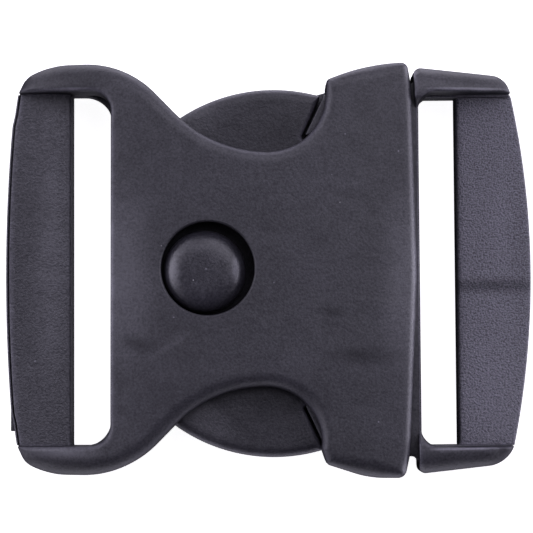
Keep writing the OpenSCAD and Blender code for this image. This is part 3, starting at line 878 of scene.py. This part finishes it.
def seated(shell):
    # The plug stands askew in the mouth: turned about the mouth's middle and shifted to one side
    turn = math.radians(plugShape["skew"])
    p = shell["points"]
    x, y = p[:, 0] - plugShape["mouthX"], p[:, 1]
    shell["points"] = np.column_stack([
        plugShape["mouthX"] + x * math.cos(turn) - y * math.sin(turn),
        plugShape["shift"] + x * math.sin(turn) + y * math.cos(turn), p[:, 2]])
    return shell


def prongRise(y):
    # 0 over the neck and 1 over the prongs, with a smooth step between
    start, width = plugShape["prongBlend"]
    rise = np.clip((np.abs(y) - start) / width, 0, 1)
    return rise * rise * (3 - 2 * rise)


def plugTopZ(x, y):
    # The crown over the prongs, blended down to the neck's height between them
    return section["plugHigh"] + (crownZ(x, y) - section["plugHigh"]) * prongRise(y)


def plugBackZ(x, y):
    # The hollow back under the prongs, blended up to the neck's underside between them
    return section["plugLow"] + (backZ(x, y) - section["plugLow"]) * prongRise(y)


def wingPath(sign):
    # The arm and its wing from above: straight heel along the notch, a bowed outer side, which is a circle's
    # arc, then the tip and the straight arm
    bow = plugShape["wingBow"]
    turn = np.radians(np.linspace(*bow["degrees"], bow["points"]))
    bowX = bow["middle"][0] + bow["radius"] * np.cos(turn)
    bowY = bow["middle"][1] + bow["radius"] * np.sin(turn)
    arc = np.column_stack([bowX, bowY, np.zeros(len(turn)), np.full(len(turn), bow["roll"])])
    rows = np.vstack([plugShape["wingHeel"], arc, plugShape["arm"]])
    path = np.column_stack([rows, np.full(len(rows), plugShape["armLowRoll"])])
    if sign < 0:
        path = path[::-1].copy()
        path[:, 1] = -path[:, 1]
    path[:, 1] = path[:, 1] + plugShape["armLean"]
    return roundedPath(path, step=0.4, deepest=0.9)


def lockButton():
    # The face falls off as the fifth power of the distance to its middle; from its rim on, an arc of
    # (r - flat) / (1 - sin slope) turns down to the upright side
    shape = plugShape
    r, top, flat, drop = (shape[key] for key in ("buttonRadius", "buttonTop", "buttonFlat", "buttonDrop"))
    share = np.linspace(0.03, 1, 26)
    face = np.column_stack([share * flat, top - drop * share ** 5])
    slope = math.atan(5 * drop / flat)
    arc = (r - flat) / (1 - math.sin(slope))
    tip = np.linspace(slope, math.pi / 2, 12)[1:]
    rim = np.column_stack([flat + arc * (np.sin(tip) - math.sin(slope)),
                           top - drop - arc * (math.cos(slope) - np.cos(tip))])
    return turnedShell(shape["button"], np.vstack([face, rim, [[r, shape["buttonFoot"]]]]), around=128)


def plugPiece():
    # The male half: frame, neck, ledges under the prongs, strap bar, two arms with their wings, the lock
    # tongue and its button
    shape = plugShape
    plugLow, plugHigh = section["plugLow"], section["plugHigh"]
    outline = roundedPath(shape["outer"], deepest=0.9)
    frameShell = mouldedShell([outline], plugTopZ, plugBackZ, spacing=0.42, rows=7, seam=0.02)
    parts = [withWearAndHighlight(frameShell, plugTopZ)]
    neck = roundedPath(mirroredRows(shape["neck"]), deepest=0.2)
    neckTop, neckLow = flatHeight(plugHigh - 0.04), flatHeight(plugLow + 0.03)
    parts.append(mouldedShell([neck], neckTop, neckLow, spacing=1.2, rows=3))
    ledgeLow, ledgeTop = (flatHeight(z) for z in shape["ledgeZ"])
    start, end = shape["ledgeX"]
    for lowY, highY in (shape["ledgeUpper"], shape["ledgeLower"]):
        ledge = roundedPath([(start, lowY, 0.1, 0.2, 0.1), (end, lowY, 0.1, 0.2, 0.1),
                             (end, highY, 0.1, 0.1, 0.1), (start, highY, 0.1, 0.1, 0.1)])
        parts.append(withWearAndHighlight(mouldedShell([ledge], ledgeTop, ledgeLow, spacing=0.4, rows=4), ledgeTop))
    barTop, barLow = flatHeight(section["barTop"]), flatHeight(section["barLow"])
    bar = mouldedShell([roundedPath(mirroredRows(shape["bar"]))], barTop, barLow, spacing=0.7, rows=6)
    bar = withWearAndHighlight(bar, barTop)
    bar["finish"] = 2
    parts.append(bar)
    for sign in (1, -1):
        arm = mouldedShell([wingPath(sign)], flatHeight(plugHigh), flatHeight(plugLow), spacing=0.45, rows=6)
        arm = withWearAndHighlight(arm, flatHeight(plugHigh))
        arm["finish"] = 1
        parts.append(arm)
    print("plug's frame, bar and arms are made")
    tongue = mouldedShell([roundedPath(mirroredRows(shape["tongue"]))], flatHeight(plugHigh - 0.06),
                          flatHeight(plugHigh - shape["tongueThick"]), spacing=1.5, rows=3)
    # The tongue takes the near-black finish, painted shade inside the socket
    tongue["finish"] = 4
    parts.append(tongue)
    button = lockButton()
    button["finish"] = 3
    parts.append(button)
    finishes = [satin, wingGrain, coarseGrain, buttonPlastic, insidePaintedShadePlastic]
    return meshOf("plug_shell", [seated(part) for part in parts], finishes)


def shown(mesh, name, node):
    # Smooth faces with sharp edges, seated on the frame in place of its CAD node
    mesh.polygons.foreach_set("use_smooth", np.ones(len(mesh.polygons), bool))
    mesh.set_sharp_from_angle(angle=math.radians(36))
    piece = bpy.data.objects.new(name, mesh)
    bpy.context.scene.collection.objects.link(piece)
    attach(piece, "root")
    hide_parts(node)
    print(name, "has", len(mesh.polygons), "triangles")
    return piece


shown(socketPiece(), "socket_shell", "socket")
shown(plugPiece(), "plug_shell", "plug")


# Floor, lights and camera

studio = {
    "floorHalf": 3, "floorGlow": 0.92, "floorColour": (0.9, 0.9, 0.9), "tint": (0.965, 0.93, 1.105),
    "keyWatts": 0.78, "keySize": (0.4, 0.4), "keyFrom": (0.125, 0.217, 0.44),
    # Camera: lean to the near side, turn to the side and roll in degrees, then distances in metres
    "lean": -2.0, "side": 0.1462, "roll": -0.0753, "lens": 202.33, "sensor": 36,
    "aim": (0, 0, 0.010), "cameraOff": (-0.00029, 0.00043, 0.450),
    # Soft patches of light round the buckle: tilt from overhead, turn about +Z from +X, strength
    "patches": [
        (60, 0, 0.23), (60, 45, 0.98), (60, 135, 1.31), (60, 180, 1.38),
        (88, 0, 2.64), (88, 180, 0.72),
        (115, 0, 2.94), (115, 45, 0.57), (115, 90, 2.67), (115, 225, 0.48), (115, 270, 1.74),
    ],
    "patchReach": 43,
}


def studioFloor():
    # A square that the camera sees glowing, as the photo's white table does
    half = studio["floorHalf"]
    floor = bpy.data.meshes.new("floor")
    corners = [(-half, -half, 0), (half, -half, 0), (half, half, 0), (-half, half, 0)]
    floor.from_pydata(corners, [], [(0, 1, 2, 3)])
    paint = bpy.data.materials.new("whiteFloor")
    paint.use_nodes = True
    shader = paint.node_tree.nodes["Principled BSDF"]
    shader.inputs["Base Color"].default_value = (*studio["floorColour"], 1)
    shader.inputs["Roughness"].default_value = 0.9
    shader.inputs["Specular IOR Level"].default_value = 0.1
    shader.inputs["Emission Color"].default_value = (1, 1, 1, 1)
    shader.inputs["Emission Strength"].default_value = studio["floorGlow"]
    floor.materials.append(paint)
    piece = bpy.data.objects.new("floor", floor)
    bpy.context.scene.collection.objects.link(piece)
    piece.visible_diffuse = False  # the photo's table throws no light up into the slots
    piece.visible_glossy = False


def softBox(name, watts, size, at):
    # A rectangular light that faces the buckle
    light = bpy.data.lights.new(name, "AREA")
    light.shape = "RECTANGLE"
    light.size, light.size_y = size
    light.energy = watts
    light.color = studio["tint"]
    lamp = bpy.data.objects.new(name, light)
    lamp.location = at
    lamp.rotation_euler = (Vector(studio["aim"]) - Vector(at)).to_track_quat("-Z", "Y").to_euler()
    bpy.context.scene.collection.objects.link(lamp)


def studioWorld():
    # The room and the pale table round the buckle: each soft patch has its full strength in the middle and
    # fades out at its reach, and the patches add up
    world = bpy.data.worlds.new("studioWorld")
    world.use_nodes = True
    tree = world.node_tree
    shade = tree.nodes["Background"]
    shade.inputs["Color"].default_value = (*studio["tint"], 1)
    toward = addNode(tree, "ShaderNodeTexCoord", -1400, 0)
    edge = math.cos(math.radians(studio["patchReach"]))
    total = None
    for number, (tilt, turn, strength) in enumerate(studio["patches"]):
        tilt, turn = math.radians(tilt), math.radians(turn)
        middle = (math.sin(tilt) * math.cos(turn), math.sin(tilt) * math.sin(turn), math.cos(tilt))
        facing = addNode(tree, "ShaderNodeVectorMath", -1100, -200 * number, operation="DOT_PRODUCT")
        facing.inputs[1].default_value = middle
        tree.links.new(toward.outputs["Generated"], facing.inputs[0])
        limits = (edge, 1, 0, strength)
        fade = ranged(tree, facing.outputs["Value"], -850, -200 * number, limits, "SMOOTHSTEP")
        added = addNode(tree, "ShaderNodeMath", -600, -200 * number, operation="ADD")
        added.inputs[0].default_value = 0
        if total is not None:
            tree.links.new(total, added.inputs[0])
        tree.links.new(fade, added.inputs[1])
        total = added.outputs["Value"]
    tree.links.new(total, shade.inputs["Strength"])
    bpy.context.scene.world = world


def photoCamera():
    # Straight above but for a slight lean, with the photo's framing
    lean, side, roll = (math.radians(studio[key]) for key in ("lean", "side", "roll"))
    turn = Matrix.Rotation(roll, 3, "Z") @ Matrix.Rotation(side, 3, "Y") @ Matrix.Rotation(lean, 3, "X")
    back = turn.transposed()
    place = Vector(studio["aim"]) + back @ Vector(studio["cameraOff"])
    lens = bpy.data.cameras.new("photoCamera")
    lens.lens = studio["lens"]
    lens.sensor_width = studio["sensor"]
    lens.clip_start = 0.01
    camera = bpy.data.objects.new("photoCamera", lens)
    camera.matrix_world = Matrix.Translation(place) @ back.to_4x4()
    bpy.context.scene.collection.objects.link(camera)
    bpy.context.scene.camera = camera


studioFloor()
softBox("keyBox", studio["keyWatts"], studio["keySize"], studio["keyFrom"])
studioWorld()
bpy.context.scene.view_settings.view_transform = "Standard"
photoCamera()
print("stage is set")

bpy.context.view_layer.update()
